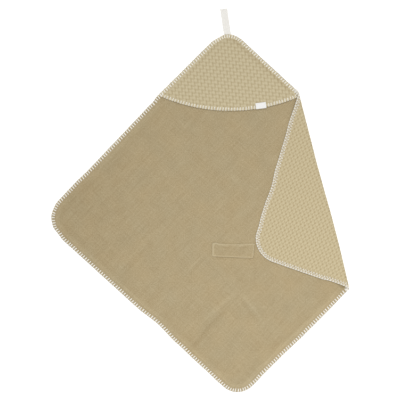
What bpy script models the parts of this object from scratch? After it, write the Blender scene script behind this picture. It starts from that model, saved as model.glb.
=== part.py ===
# Hooded baby bath wrap, laid flat with the hood's corner towards +Y and the right corner
# folded over the front. Two cloths are sewn together at their edges: a waffle weave, which
# lies face down, and a terry lining, which lies face up. A waffle hood panel covers the top
# corner. Metres, +Z up. The origin is on the surface that the wrap lies on, below the middle
# of its outline.

import math
from collections import namedtuple

import bmesh
import bpy
from mathutils import Vector

# Walls and gaps
CLOTH = 0.0022
TAPE = 0.0010
LABEL_WALL = 0.0008
SEAM_GAP = 0.0003
PAIR = 2 * CLOTH + SEAM_GAP  # both cloths, one on the other

# The cut of both cloths before the fold, going round anticlockwise: about 0.80 m square,
# turned by 45 degrees. Each corner is where its two edges would meet if it weren't rounded.
Corner = namedtuple("Corner", "name x y radius")
CUT = (
    Corner("hood", 0.0816, 0.5173, 0.063),
    Corner("hem_end", -0.1268, 0.3102, 0.300),
    Corner("side", -0.4766, -0.0590, 0.079),
    Corner("foot", 0.1135, -0.5969, 0.059),
    Corner("fold_foot", 0.4392, -0.2725, 0.200),
    Corner("folded", 0.6551, -0.0308, 0.075),
    Corner("fold_top", 0.2841, 0.3308, 0.300),
)
ARC_STEP = math.radians(11.25)  # one facet of a rounded corner

# Soft dents in the straight edges, two of them outwards. Each is on the edge that starts at the
# named corner, at a share of its length; a higher power gives it a flatter middle.
Dent = namedtuple("Dent", "edge place half_length depth power")
DENTS = (
    Dent("hem_end", 0.045, 0.0178, 0.0018, 2),
    Dent("hem_end", 0.350, 0.168, 0.0022, 12),
    Dent("side", 0.590, 0.080, 0.0055, 2),
    Dent("side", 0.710, 0.050, 0.0014, 2),
    Dent("foot", 0.700, 0.130, -0.0021, 4),
    Dent("fold_foot", 0.155, 0.044, 0.0028, 4),
    Dent("folded", 0.400, 0.055, 0.0036, 2),
    Dent("folded", 0.795, 0.050, -0.0016, 2),
)
DENT_STEP = 0.016

# The fold: a soft roll, from which the folded corner comes down to rest on the lining
ROLL_RADIUS = 0.0050  # at the seam between the two cloths
ROLL_FACETS = 8
ROLL_ARC = math.pi * ROLL_RADIUS
REST_GAP = 0.0004  # between the folded corner and the lining below it
DROP = 2 * ROLL_RADIUS - PAIR - REST_GAP
DESCENT = 0.045
DESCENT_FACETS = 5
CROSS_STEP = 0.052  # spacing of the lines that cross the fold

# The roll stands out a little in its lower half
BULGE_PLACE = 0.450
BULGE_HALF_LENGTH = 0.230
BULGE_HEIGHT = 0.0036
BULGE_REACH = 0.120  # how far in from the roll the cloth is drawn out by it

# The hood panel and its curved hem, an arc of a circle about a point above the corner
HEM_CENTRE = Vector((0.0882, 0.7895))
HEM_RADIUS = 0.5248
HEM_HALF_ANGLE = math.radians(26)
HEM_FACETS = 14
HOOD_SHORT_OF_FOLD = 0.0010
HOOD_RISE = 0.0016  # how far the panel stands off the lining, away from its side seams
HOOD_RISE_WIDTH = 0.060
HOOD_RISE_FACETS = 4
HOOD_OVER_LOOP = 1.15  # the hood goes a little higher over the loop than the lining does

# The hanging loop, a tape doubled back on itself, its ends between the two cloths
LOOP_EDGE = Vector((0.0822, 0.4925))  # where it leaves the hood's corner
LOOP_LEAN = math.radians(8.4)
LOOP_WIDTH = 0.0213
LOOP_LENGTH = 0.0795
LOOP_TAIL = 0.015
LOOP_DROP_START = 0.003
LOOP_DROP_END = 0.022
LOOP_STEPS = 6
TAPE_PITCH = TAPE + SEAM_GAP

# The lining and the hood go up over the tails of the loop
LIFT = 2 * TAPE + 2 * SEAM_GAP
LIFT_MARGIN = 0.002
LIFT_FALL = 0.018
LIFT_FACETS = 4
LIFT_HALF_WIDTH = LOOP_WIDTH / 2 + LIFT_MARGIN
LIFT_DEPTH = LOOP_TAIL + LIFT_MARGIN

# The label, folded over the hood's hem
LABEL_PLACE = Vector((0.1831, 0.2743))
LABEL_TURN = math.radians(7.7)
LABEL_WIDTH = 0.0302
LABEL_HEIGHT = 0.0165
LABEL_PAST_HEM = 0.0014
LABEL_EASE = 0.0001  # it stands this much further off the hood than a seam does

# The closing band, a strip of terry on the lining beside the folded corner's tip. Its corners go
# round from the lower left one, and its upper edge dips between them.
BAND_CORNERS = (Vector((0.0358, -0.1697)), Vector((0.1591, -0.1748)),
                Vector((0.1636, -0.1299)), Vector((0.0361, -0.1287)))
BAND_DIP = 0.0030
BAND_COLUMNS = 10
BAND_ROWS = 4
BAND_RISE = 0.0012

# Linear base colours
WAFFLE_CREAM = (0.54, 0.46, 0.29)
TERRY_SAND = (0.44, 0.35, 0.20)
TAPE_WHITE = (0.82, 0.79, 0.74)
LABEL_WHITE = (0.88, 0.88, 0.86)

BY_NAME = {corner.name: Vector((corner.x, corner.y)) for corner in CUT}
FOLD_TOP = BY_NAME["fold_top"]
DOWN_FOLD = (BY_NAME["fold_foot"] - FOLD_TOP).normalized()
ACROSS_FOLD = Vector((-DOWN_FOLD.y, DOWN_FOLD.x))
FOLD_LENGTH = (BY_NAME["fold_foot"] - FOLD_TOP).length
ALONG_LOOP = Vector((-math.sin(LOOP_LEAN), math.cos(LOOP_LEAN)))
ACROSS_LOOP = Vector((ALONG_LOOP.y, -ALONG_LOOP.x))


def ease(share):
    """A smooth step from 0 to 1, level at both ends."""
    share = min(max(share, 0.0), 1.0)
    return share * share * (3 - 2 * share)


def ease_slope(share):
    share = min(max(share, 0.0), 1.0)
    return 6 * share * (1 - share)


# ---------------------------------------------------------------- the cut and its folding

def corner_arc(before, corner, after):
    """Points of the arc that rounds one corner."""
    here = Vector((corner.x, corner.y))
    arriving = (here - before).normalized()
    leaving = (after - here).normalized()
    turn = -arriving.angle_signed(leaving)  # anticlockwise is positive
    reach = corner.radius * math.tan(abs(turn) / 2)
    side = math.copysign(1, turn)
    start = here - arriving * reach
    centre = start + Vector((-arriving.y, arriving.x)) * corner.radius * side
    facets = max(1, round(abs(turn) / ARC_STEP))
    spoke = start - centre
    points = []
    for i in range(facets + 1):
        angle = turn * i / facets
        points.append(centre + Vector((spoke.x * math.cos(angle) - spoke.y * math.sin(angle),
                                       spoke.x * math.sin(angle) + spoke.y * math.cos(angle))))
    return points


def dented_points(corner, after):
    """The dented stretch of the edge that starts at a corner, if it has one."""
    dents = [dent for dent in DENTS if dent.edge == corner.name]
    if not dents:
        return []
    start, end = BY_NAME[corner.name], BY_NAME[after.name]
    length = (end - start).length
    along = (end - start) / length
    inward = Vector((-along.y, along.x))
    first = min(dent.place * length - dent.half_length for dent in dents)
    last = max(dent.place * length + dent.half_length for dent in dents)
    steps = round((last - first) / DENT_STEP)
    points = []
    for i in range(steps + 1):
        reach = first + (last - first) * i / steps
        depth = 0.0
        for dent in dents:
            share = abs(reach - dent.place * length) / dent.half_length
            depth += dent.depth * max(1 - share ** dent.power, 0.0) ** 2
        points.append(start + along * reach + inward * depth)
    return points


def cut_outline():
    points = []
    for i, corner in enumerate(CUT):
        before, after = CUT[i - 1], CUT[(i + 1) % len(CUT)]
        points += corner_arc(Vector((before.x, before.y)), corner, Vector((after.x, after.y)))
        points += dented_points(corner, after)
    return points


def bulge(down):
    share = (down - BULGE_PLACE) / BULGE_HALF_LENGTH
    return BULGE_HEIGHT * (1 - share * share) ** 2 if abs(share) < 1 else 0.0


def folded(x, y, outward):
    """Where a point of the flat cut lies once its corner is folded over.

    outward is its distance from the seam between the two cloths, towards the waffle's face.
    """
    place = Vector((x, y)) - FOLD_TOP
    down, past = place.dot(DOWN_FOLD), place.dot(ACROSS_FOLD)
    if past <= 0:
        across, height, face = past, 0.0, Vector((0, -1))
    elif past < ROLL_ARC:
        angle = past / ROLL_RADIUS
        across = ROLL_RADIUS * math.sin(angle)
        height = ROLL_RADIUS * (1 - math.cos(angle))
        face = Vector((math.sin(angle), -math.cos(angle)))
    else:
        share = (past - ROLL_ARC) / DESCENT
        across = ROLL_ARC - past
        height = 2 * ROLL_RADIUS - DROP * ease(share)
        face = Vector((-DROP * ease_slope(share) / DESCENT, 1)).normalized()
    across += outward * face.x
    height += outward * face.y + PAIR / 2
    across += bulge(down) * ease(1 + across / BULGE_REACH)
    plan = FOLD_TOP + DOWN_FOLD * down + ACROSS_FOLD * across
    return Vector((plan.x, plan.y, height))


def loop_lift(x, y):
    """How far the cloth goes up over the tails of the hanging loop."""
    place = Vector((x, y)) - LOOP_EDGE
    beside = max(abs(place.dot(ACROSS_LOOP)) - LIFT_HALF_WIDTH, 0)
    below = max(-place.dot(ALONG_LOOP) - LIFT_DEPTH, 0)
    return LIFT * (1 - ease(math.hypot(beside, below) / LIFT_FALL))


def hood_rise(x, y):
    """How far the hood panel stands off the lining, nothing at its two side seams."""
    place = Vector((x, y)) - BY_NAME["hood"]
    nearest = min(place.dot(inward) for inward in hood_inwards())
    return HOOD_RISE * ease(nearest / HOOD_RISE_WIDTH)


def hood_inwards():
    """Unit vectors that point from each of the hood's side seams into the panel."""
    left = (BY_NAME["hem_end"] - BY_NAME["hood"]).normalized()
    right = (FOLD_TOP - BY_NAME["hood"]).normalized()
    return Vector((-left.y, left.x)), Vector((right.y, -right.x))


# ---------------------------------------------------------------- flat sheets and lines in them

def flat_sheet(outline):
    sheet = bmesh.new()
    sheet.faces.new([sheet.verts.new((point.x, point.y, 0)) for point in outline])
    return sheet


def score(sheet, point, normal, beyond=None, cut_away=False):
    """Cut a line across the sheet at a point, or only across its faces that pass a test."""
    faces = [face for face in sheet.faces if beyond is None or beyond(face.calc_center_median())]
    geometry = set(faces)
    for face in faces:
        geometry.update(face.edges)
        geometry.update(face.verts)
    bmesh.ops.bisect_plane(sheet, geom=list(geometry), dist=0.00001,
                           plane_co=(point.x, point.y, 0), plane_no=(normal.x, normal.y, 0),
                           clear_outer=cut_away)


def past_fold(point):
    return (Vector((point.x, point.y)) - FOLD_TOP).dot(ACROSS_FOLD)


def score_fold(sheet):
    """Lines along the fold, close together on the roll, and lines across it."""
    lines = [-BULGE_REACH, -BULGE_REACH / 2]
    lines += [ROLL_ARC * i / ROLL_FACETS for i in range(ROLL_FACETS + 1)]
    lines += [ROLL_ARC + DESCENT * (i + 1) / DESCENT_FACETS for i in range(DESCENT_FACETS)]
    lines += [ROLL_ARC + BULGE_REACH * 2 / 3, ROLL_ARC + BULGE_REACH]
    for line in lines:
        score(sheet, FOLD_TOP + ACROSS_FOLD * line, ACROSS_FOLD)
    crossings = round(FOLD_LENGTH / CROSS_STEP)
    for i in range(1, crossings):
        score(sheet, FOLD_TOP + DOWN_FOLD * FOLD_LENGTH * i / crossings, DOWN_FOLD,
              beyond=lambda middle: -BULGE_REACH < past_fold(middle) < ROLL_ARC + BULGE_REACH)


def score_lift(sheet):
    """Lines round the place where the cloth goes over the tails of the loop."""
    foot = LIFT_DEPTH + LIFT_FALL
    score(sheet, LOOP_EDGE - ALONG_LOOP * foot, ALONG_LOOP)

    def in_tip(middle):
        return (middle.to_2d() - LOOP_EDGE).dot(ALONG_LOOP) > -foot

    for i in range(LIFT_FACETS + 1):
        fall = LIFT_FALL * i / LIFT_FACETS
        score(sheet, LOOP_EDGE - ALONG_LOOP * (LIFT_DEPTH + fall), ALONG_LOOP, beyond=in_tip)
        for side in (-1, 1):
            score(sheet, LOOP_EDGE + ACROSS_LOOP * side * (LIFT_HALF_WIDTH + fall), ACROSS_LOOP,
                  beyond=in_tip)


def hood_sheet():
    """The top corner of the cut, down to the hem's arc and across to the fold."""
    sheet = flat_sheet(cut_outline())
    for i in range(HEM_FACETS):
        angle = HEM_HALF_ANGLE * (2 * (i + 0.5) / HEM_FACETS - 1)
        spoke = Vector((math.sin(angle), -math.cos(angle)))
        score(sheet, HEM_CENTRE + spoke * HEM_RADIUS, spoke, cut_away=True)
    score(sheet, FOLD_TOP - ACROSS_FOLD * HOOD_SHORT_OF_FOLD, ACROSS_FOLD, cut_away=True)
    score_lift(sheet)
    for inward in hood_inwards():
        for i in range(HOOD_RISE_FACETS):
            reach = HOOD_RISE_WIDTH * (i + 1) / HOOD_RISE_FACETS
            score(sheet, BY_NAME["hood"] + inward * reach, inward)
    return sheet


def ribbon(path, width):
    """A strip that follows a path of points in the YZ plane, as wide as width along X."""
    strip = bmesh.new()
    verts = [strip.verts.new((-width / 2, y, z)) for y, z in path]
    edges = [strip.edges.new(pair) for pair in zip(verts, verts[1:])]
    swept = bmesh.ops.extrude_edge_only(strip, edges=edges)
    moved = [item for item in swept["geom"] if isinstance(item, bmesh.types.BMVert)]
    bmesh.ops.translate(strip, verts=moved, vec=(width, 0, 0))
    return strip


# ---------------------------------------------------------------- objects

def fabric(name, colour, roughness):
    material = bpy.data.materials.new(name)
    material.use_nodes = True
    shader = material.node_tree.nodes["Principled BSDF"]
    shader.inputs["Base Color"].default_value = (*colour, 1)
    shader.inputs["Roughness"].default_value = roughness
    shader.inputs["Metallic"].default_value = 0
    return material


def cloth_object(name, sheet, wall, material, collection, place=None):
    """An object of even wall on both sides of the sheet, placed at a point and a turn."""
    bmesh.ops.recalc_face_normals(sheet, faces=sheet.faces)
    mesh = bpy.data.meshes.new(name)
    sheet.to_mesh(mesh)
    sheet.free()
    mesh.materials.append(material)
    item = bpy.data.objects.new(name, mesh)
    collection.objects.link(item)
    if place:
        point, turn = place
        item.location = (point.x, point.y, 0)
        item.rotation_euler = (0, 0, turn)
    solidify = item.modifiers.new("wall", "SOLIDIFY")
    solidify.thickness = wall
    solidify.offset = 0
    solidify.use_even_offset = True
    return item


def shape(sheet, rule):
    """Move every point of a flat sheet by a rule of its x and y."""
    for vert in sheet.verts:
        vert.co = rule(vert.co.x, vert.co.y)


def outer_panel(collection, material):
    sheet = flat_sheet(cut_outline())
    score_fold(sheet)
    shape(sheet, lambda x, y: folded(x, y, (CLOTH + SEAM_GAP) / 2))
    return cloth_object("outer_panel", sheet, CLOTH, material, collection)


def lining_panel(collection, material):
    sheet = flat_sheet(cut_outline())
    score_fold(sheet)
    score_lift(sheet)
    shape(sheet, lambda x, y: folded(x, y, -(CLOTH + SEAM_GAP) / 2)
          + Vector((0, 0, loop_lift(x, y))))
    return cloth_object("lining_panel", sheet, CLOTH, material, collection)


def hood_panel(collection, material):
    sheet = hood_sheet()
    height = PAIR + SEAM_GAP + CLOTH / 2
    shape(sheet, lambda x, y: Vector(
        (x, y, height + HOOD_OVER_LOOP * loop_lift(x, y) + hood_rise(x, y))))
    return cloth_object("hood_panel", sheet, CLOTH, material, collection)


def half_turn(y, z, radius, facets=6):
    """The path of a tape that turns back over itself at (y, z), from its lower run up."""
    return [(y + radius * math.sin(math.pi * i / facets), z - radius * math.cos(math.pi * i / facets))
            for i in range(facets + 1)]


def hanging_loop(collection, material):
    """The lower run goes from between the cloths down to the surface, then it turns back."""
    held = CLOTH + SEAM_GAP + TAPE / 2
    lying = TAPE / 2

    def lower(y):
        return held + (lying - held) * ease((y - LOOP_DROP_START) / (LOOP_DROP_END - LOOP_DROP_START))

    stations = [-LOOP_TAIL]
    stations += [LOOP_DROP_START + (LOOP_DROP_END - LOOP_DROP_START) * i / LOOP_STEPS
                 for i in range(LOOP_STEPS + 1)]
    radius = TAPE_PITCH / 2
    path = [(y, lower(y)) for y in stations]
    path += half_turn(LOOP_LENGTH - radius - TAPE / 2, lying + radius, radius)
    path += [(y, lower(y) + TAPE_PITCH) for y in reversed(stations)]
    strip = ribbon(path, LOOP_WIDTH)
    return cloth_object("hanging_loop", strip, TAPE, material, collection, (LOOP_EDGE, LOOP_LEAN))


def hem_label(collection, material):
    """Its front lies on the hood, its back below it, and it turns round the hem's edge."""
    hood_middle = PAIR + SEAM_GAP + CLOTH / 2 + HOOD_RISE
    radius = CLOTH / 2 + SEAM_GAP + LABEL_WALL / 2 + LABEL_EASE
    path = [(-LABEL_HEIGHT, hood_middle - radius)]
    path += half_turn(LABEL_PAST_HEM, hood_middle, radius)
    path += [(-LABEL_HEIGHT, hood_middle + radius)]
    strip = ribbon(path, LABEL_WIDTH)
    place = (LABEL_PLACE, math.pi + LABEL_TURN)
    return cloth_object("hem_label", strip, LABEL_WALL, material, collection, place)


def closing_band(collection, material):
    """A strip whose middle stands a little off the lining."""
    lower_left, lower_right, upper_right, upper_left = BAND_CORNERS
    strip = bmesh.new()
    bmesh.ops.create_grid(strip, x_segments=BAND_COLUMNS, y_segments=BAND_ROWS, size=0.5)

    def laid(x, y):
        middle = (1 - (2 * x) ** 2) * (1 - (2 * y) ** 2)
        lower = lower_left.lerp(lower_right, x + 0.5)
        upper = upper_left.lerp(upper_right, x + 0.5)
        plan = lower.lerp(upper, y + 0.5)
        dip = BAND_DIP * (1 - (2 * x) ** 2) * (y + 0.5)
        return Vector((plan.x, plan.y - dip, PAIR + SEAM_GAP + CLOTH / 2 + BAND_RISE * middle))

    shape(strip, laid)
    return cloth_object("closing_band", strip, CLOTH, material, collection)


def main():
    for item in list(bpy.data.objects):
        bpy.data.objects.remove(item)
    collection = bpy.data.collections.new("bath_wrap")
    bpy.context.scene.collection.children.link(collection)

    waffle = fabric("waffle", WAFFLE_CREAM, 0.95)
    terry = fabric("terry", TERRY_SAND, 1.0)
    outer_panel(collection, waffle)
    lining_panel(collection, terry)
    hood_panel(collection, waffle)
    closing_band(collection, terry)
    hanging_loop(collection, fabric("tape", TAPE_WHITE, 0.85))
    hem_label(collection, fabric("label", LABEL_WHITE, 0.60))


main()
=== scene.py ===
import math

import bpy
import numpy as np
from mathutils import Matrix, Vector
from mathutils.geometry import delaunay_2d_cdt


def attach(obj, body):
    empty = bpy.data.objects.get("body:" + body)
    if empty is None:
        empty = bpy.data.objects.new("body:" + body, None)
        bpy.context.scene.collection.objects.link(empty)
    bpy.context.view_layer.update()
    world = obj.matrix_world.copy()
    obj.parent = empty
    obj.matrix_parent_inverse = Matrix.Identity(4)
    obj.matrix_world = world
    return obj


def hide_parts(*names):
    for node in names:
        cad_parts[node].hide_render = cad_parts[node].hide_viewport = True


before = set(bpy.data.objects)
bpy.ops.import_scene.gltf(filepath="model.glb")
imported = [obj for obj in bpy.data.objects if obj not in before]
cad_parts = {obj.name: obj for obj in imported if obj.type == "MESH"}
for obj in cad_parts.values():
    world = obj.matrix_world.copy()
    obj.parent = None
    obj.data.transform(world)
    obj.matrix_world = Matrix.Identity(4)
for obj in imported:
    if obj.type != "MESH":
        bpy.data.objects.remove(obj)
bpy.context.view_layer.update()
scene = bpy.context.scene
print("frame loaded:", sorted(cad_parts))


# Soft steps and bumps

def ease(share):
    share = np.clip(share, 0, 1)
    return share * share * (3 - 2 * share)


def easeSlope(share):
    share = np.clip(share, 0, 1)
    return 6 * share * (1 - share)


def rise(distance, start, length):
    return ease((distance - start) / length)


def bell(distance, width):
    return np.exp(-(distance / width) ** 2)


def patch(look, distance):
    height, middle, width = look
    return height * bell(np.abs(distance - middle), width)


def dot(place, direction):
    return (place * np.conj(direction)).real


def unit(step):
    return step / np.abs(step)


# The cut of both cloths, before the corner is folded over

cut = {
    "corners": {  # where the edges would meet, and the radius there, going round anticlockwise
        "hood": (0.0816 + 0.5173j, 0.063),
        "hemEnd": (-0.1268 + 0.3102j, 0.300),
        "side": (-0.4766 - 0.0590j, 0.079),
        "foot": (0.1135 - 0.5969j, 0.059),
        "foldFoot": (0.4392 - 0.2725j, 0.200),
        "folded": (0.6551 - 0.0308j, 0.075),
        "foldTop": (0.2841 + 0.3308j, 0.300),
    },
    "wall": 0.0022,
    "seamGap": 0.0003,
    "dents": (  # near a place of the edge: half length, depth, and how flat its middle is
        (-0.1425 + 0.2936j, 0.0178, 0.0018, 2),
        (-0.2492 + 0.1810j, 0.168, 0.0022, 12),
        (-0.1284 - 0.3764j, 0.080, 0.0055, 2),
        (-0.0576 - 0.4409j, 0.050, 0.0014, 2),
        (0.3415 - 0.3698j, 0.130, -0.0021, 4),
        (0.4727 - 0.2350j, 0.044, 0.0028, 4),
        (0.5980 + 0.0237j, 0.035, 0.0018, 2),
        (0.5067 + 0.1138j, 0.055, 0.0036, 2),
        (0.3602 + 0.2567j, 0.050, -0.0016, 2),
        (-0.4240 - 0.1020j, 0.026, 0.0030, 2),
        (-0.4420 - 0.0500j, 0.022, -0.0012, 2),
        (0.0530 + 0.4850j, 0.026, 0.0030, 2),
        (0.0530 - 0.5400j, 0.040, -0.0009, 2),
        (0.1640 - 0.5480j, 0.035, -0.0012, 2),
    ),
}
corner = {name: place for name, (place, radius) in cut["corners"].items()}
wall = cut["wall"]
seam = cut["seamGap"] / 2  # from the plane between the cloths to either of them
pairWall = 2 * (wall + seam)


def roundedOutline(corners):
    # corners are pairs of a place and the radius there
    arcs = []
    for i, (place, radius) in enumerate(corners):
        arriving = unit(place - corners[i - 1][0])
        turn = np.angle(unit(corners[(i + 1) % len(corners)][0] - place) / arriving)
        start = place - arriving * radius * math.tan(abs(turn) / 2)
        centre = start + 1j * arriving * radius * np.sign(turn)
        arcs.append(centre + (start - centre) * np.exp(1j * np.linspace(0, turn, 40)))
    return np.concatenate(arcs)


def evenly(line, step, per=1):
    # the same open line as points at even steps, their number a multiple of per
    along = np.concatenate([[0], np.cumsum(np.abs(np.diff(line)))])
    count = per * max(1, round(along[-1] / step / per))
    return np.interp(np.linspace(0, along[-1], count + 1), along, line)


def evenRing(line, step, per):
    return evenly(np.append(line, line[0]), step, per)[:-1]


def dented(line):
    inward = 1j * unit(np.roll(line, -1) - np.roll(line, 1))
    step = abs(line[1] - line[0])
    depths = np.zeros(len(line))
    for place, halfLength, depth, power in cut["dents"]:
        beside = np.abs(np.arange(len(line)) - np.abs(line - place).argmin())
        share = np.minimum(beside, len(line) - beside) * step / halfLength
        depths += depth * (1 - np.minimum(share, 1) ** power) ** 2
    return line + inward * depths


# The fold: a soft roll, from which the folded corner comes down to rest on the lining

fold = {
    "radius": 0.0050,  # at the seam between the two cloths
    "facets": 12,  # of the roll
    "margin": 0.0025,  # on each side of the roll that has its close points
    "restGap": 0.0004,
    "descent": 0.045,
    "bulgePlace": 0.450,  # the roll stands out a little here, this far down from the fold's top
    "bulgeHalfLength": 0.230,
    "bulgeHeight": 0.0036,
    "bulgeReach": 0.120,
    "lift": 0.0007,  # how far the folded corner stands off the lining inside its stitches
    "liftStart": 0.010,  # past the roll
    "liftLength": 0.030,
    "edgeSag": 0.0019,
    "sagReach": 0.020,
    "sagStart": 0.040,
    "creases": (  # start and end where the cloth lies, half width, height and bow
        (0.212 + 0.041j, 0.352 - 0.004j, 0.011, -0.0007, 0.004),
        (0.206 + 0.066j, 0.345 + 0.022j, 0.014, 0.0008, 0.005),
        (0.226 + 0.012j, 0.356 - 0.030j, 0.013, 0.0006, 0.003),
        (0.252 - 0.092j, 0.330 - 0.170j, 0.012, 0.0006, -0.004),
        (0.262 + 0.182j, 0.322 + 0.110j, 0.010, 0.0006, 0.003),
    ),
}
foldTop = corner["foldTop"]
downFold = unit(corner["foldFoot"] - foldTop)
acrossFold = 1j * downFold
rollArc = math.pi * fold["radius"]
foldDrop = 2 * fold["radius"] - pairWall - fold["restGap"]


def creaseHeight(place, start, end, width, height, bow):
    # a soft ridge, or a trough where the height is negative, that dies out at both ends
    share = (place - start) / (end - start)
    along = np.clip(share.real, 0, 1)
    arch = 4 * along * (1 - along)
    beside = share.imag * abs(end - start) - bow * arch
    past = (share.real - along) * abs(end - start)
    return height * bell(beside, width) * bell(past, width) * arch ** 0.7


def creaseRelief(place, creases, widening=1):
    return sum(creaseHeight(place, start, end, width * widening, height, bow)
               for start, end, width, height, bow in creases)


def downOf(flat):
    # how far down the fold a place is
    return dot(flat - foldTop, downFold)


def pastOf(flat):
    # and how far past it
    return dot(flat - foldTop, acrossFold)


def edgeSag(flat, past):
    # the folded corner's thin edge comes down to the lining
    onCorner = past > rollArc
    sag = np.zeros(flat.shape)
    sag[onCorner] = (fold["edgeSag"] * (1 - ease(cutEdge.insetOf(flat[onCorner]) / fold["sagReach"]))
                     * rise(past[onCorner], rollArc, fold["sagStart"]))
    return sag


def laidOut(flat, outward):
    # where the cut's places lie; outward is measured from the seam towards the waffle's face
    down, past = downOf(flat), pastOf(flat)
    radius = fold["radius"]
    angle = np.clip(past / radius, 0, math.pi)
    share = (past - rollArc) / fold["descent"]
    settled = past > rollArc
    across = np.where(settled, rollArc - past, np.where(past > 0, radius * np.sin(angle), past))
    height = radius * (1 - np.cos(angle)) - foldDrop * ease(share) * settled
    slope = -foldDrop * easeSlope(share) / fold["descent"] * settled
    faceAcross = np.where(settled, slope, np.sin(angle))
    faceUp = np.where(settled, 1, -np.cos(angle))
    scale = outward / np.hypot(faceAcross, faceUp)
    across = across + faceAcross * scale
    height = height + faceUp * scale + pairWall / 2
    offMiddle = np.clip((down - fold["bulgePlace"]) / fold["bulgeHalfLength"], -1, 1)
    across = across + (fold["bulgeHeight"] * (1 - offMiddle ** 2) ** 2
                       * ease(1 + across / fold["bulgeReach"]))
    lies = foldTop + downFold * down + acrossFold * across
    inner = rise(past - rollArc, fold["liftStart"], fold["liftLength"])
    lift = np.maximum(fold["lift"] + creaseRelief(lies, fold["creases"]), 0)
    height = height + lift * inner - edgeSag(flat, past)
    return np.stack([lies.real, lies.imag, height], axis=-1)


# A cloth's edge: rows of points that run round it, pressed thin under the stitches

edge = {
    "pitch": 0.00825,  # of the blanket stitches
    "perStitch": 4,  # points of the edge
    "rows": ((0.0005, 1), (0.0015, 1), (0.0034, 1), (0.0060, 1), (0.0090, 2), (0.0120, 2),
             (0.0155, 2)),  # distance in from the edge, and every how many of its points
    "hiddenRows": ((0.0015, 2), (0.0080, 2)),
    "rowRoom": 0.93,  # a row's point is left out where the edge is nearer than this share of it
    "gridRoom": 0.45,  # how much of a grid's step stays free inside the last row
    "roundness": 0.0012,
    "thin": 0.42,  # of the wall at its very edge
    "sewn": 0.45,  # share of the wall that is left under the stitches
    "sewnIn": (0.0060, 0.0065),  # how far in that goes, and over what length it ends
    "puff": (0.24, 0.0135, 0.0034),  # height, distance in from the edge and half width
    "hollow": (-0.12, 0.0225, 0.0055),
    "scallop": 0.16,  # between stitches the cloth is fuller
    "scallopOut": 0.0003,
    "scallopReach": 0.003,
}


class Edge:
    # a closed line of close points, anticlockwise; phase counts points from a stitch
    def __init__(self, line, phase):
        self.line = line
        self.phase = phase
        self.inward = 1j * unit(np.roll(line, -1) - np.roll(line, 1))

    def at(self, station, inset):
        index = np.arange(len(self.line) + 1)
        station = station % len(self.line)
        place = np.interp(station, index, np.append(self.line, self.line[0]))
        inward = np.interp(station, index, np.append(self.inward, self.inward[0]))
        return place + unit(inward) * inset

    def nearest(self, places):
        # how far in from the edge each place is, and the edge's point there
        flat = places.ravel()
        station = np.empty(len(flat), int)
        for first in range(0, len(flat), 4000):
            part = slice(first, first + 4000)
            station[part] = np.abs(flat[part, None] - self.line[None, :]).argmin(1)
        station = station.reshape(places.shape)
        offset = places - self.line[station]
        return np.abs(offset) * np.sign(dot(offset, self.inward[station])), station

    def insetOf(self, places):
        return self.nearest(places)[0]


class Plan:
    # one face of a cloth in the flat: rows along its edge, then grids of staggered points
    def __init__(self, outline, rows, grids):
        count = len(outline.line)
        parts = [(outline.line, np.arange(count), np.zeros(count))]
        for i, (inset, stride) in enumerate(rows):
            station = np.arange(i % 2 * stride // 2, count, stride)
            row = outline.line[station] + outline.inward[station] * inset
            kept = outline.insetOf(row) > edge["rowRoom"] * inset
            parts.append((row[kept], station[kept], np.full(kept.sum(), inset)))
        for reach in grids:
            grid = foldGrid(outline.line, *reach)
            inset, station = outline.nearest(grid)
            kept = inset > rows[-1][0] + edge["gridRoom"] * reach[-1]
            parts.append((grid[kept], station[kept], inset[kept]))
        self.flat, station, self.inset = [np.concatenate(part) for part in zip(*parts)]
        self.phase = outline.phase[station]
        self.inward = outline.inward[station]
        self.rim = count
        ring = [(i, (i + 1) % count) for i in range(count)]
        corners = [Vector((place.real, place.imag)) for place in self.flat]
        triangles = np.array(delaunay_2d_cdt(corners, ring, [], 1, 1e-7, False)[2])
        # a triangle between three points of the edge is left out where it lies past the edge
        onRim = np.flatnonzero((triangles < count).all(axis=1))
        middle = self.flat[triangles[onRim]].mean(axis=1)
        self.triangles = np.delete(triangles, onRim[outline.insetOf(middle) <= 0], axis=0)

    def scalloped(self):
        # between stitches the edge stands out a little
        out = edge["scallopOut"] * bell(self.inset, edge["scallopReach"]) * fullness(self.phase)
        return self.flat - self.inward * out


def foldGrid(line, fromPast, toPast, stepAcross, stepDown):
    # staggered points in lines along the fold, over the part of the cut between two of them
    down, past = downOf(line), pastOf(line)
    lines = np.arange(math.ceil(max(fromPast, past.min()) / stepAcross),
                      math.ceil(min(toPast, past.max()) / stepAcross))
    places = np.arange(down.min(), down.max(), stepDown)
    stagger = (lines % 2)[:, None] * stepDown / 2
    grid = foldTop + acrossFold * lines[:, None] * stepAcross + downFold * (places[None, :] + stagger)
    return grid.ravel()


def evenGrid(step):
    return ((-1, 1, step, step),)


def foldedGrids(step, rollStep, cornerStep):
    # before the fold, on its roll and on the folded corner
    margin = fold["margin"]
    return ((-1, -margin, step, step),
            (-margin, rollArc + margin, rollArc / fold["facets"], rollStep),
            (rollArc + margin, 1, cornerStep, cornerStep))


def fullness(phase):
    # 1 between two stitches and -1 at one
    return -np.cos(2 * math.pi * phase / edge["perStitch"])


def wallShare(inset, phase):
    # how thick the cloth is, as a share of its wall
    free = rise(inset, *edge["sewnIn"])
    return (edge["sewn"] + (1 - edge["sewn"]) * free + edge["scallop"] * fullness(phase) * (1 - free)
            + patch(edge["puff"], inset) + patch(edge["hollow"], inset))


def roundedIn(inset):
    share = np.clip(inset / edge["roundness"], 0, 1)
    return np.sqrt(1 - (1 - share) ** 2)


def roundedWall(inset):
    # the share of its wall that a cloth's face has reached, from its thin edge inwards
    return edge["thin"] + (1 - edge["thin"]) * roundedIn(inset)


def faceOffset(inset, phase):
    # of a cloth's outer face, from its inner one
    return wall * wallShare(inset, phase) * roundedWall(inset)


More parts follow.
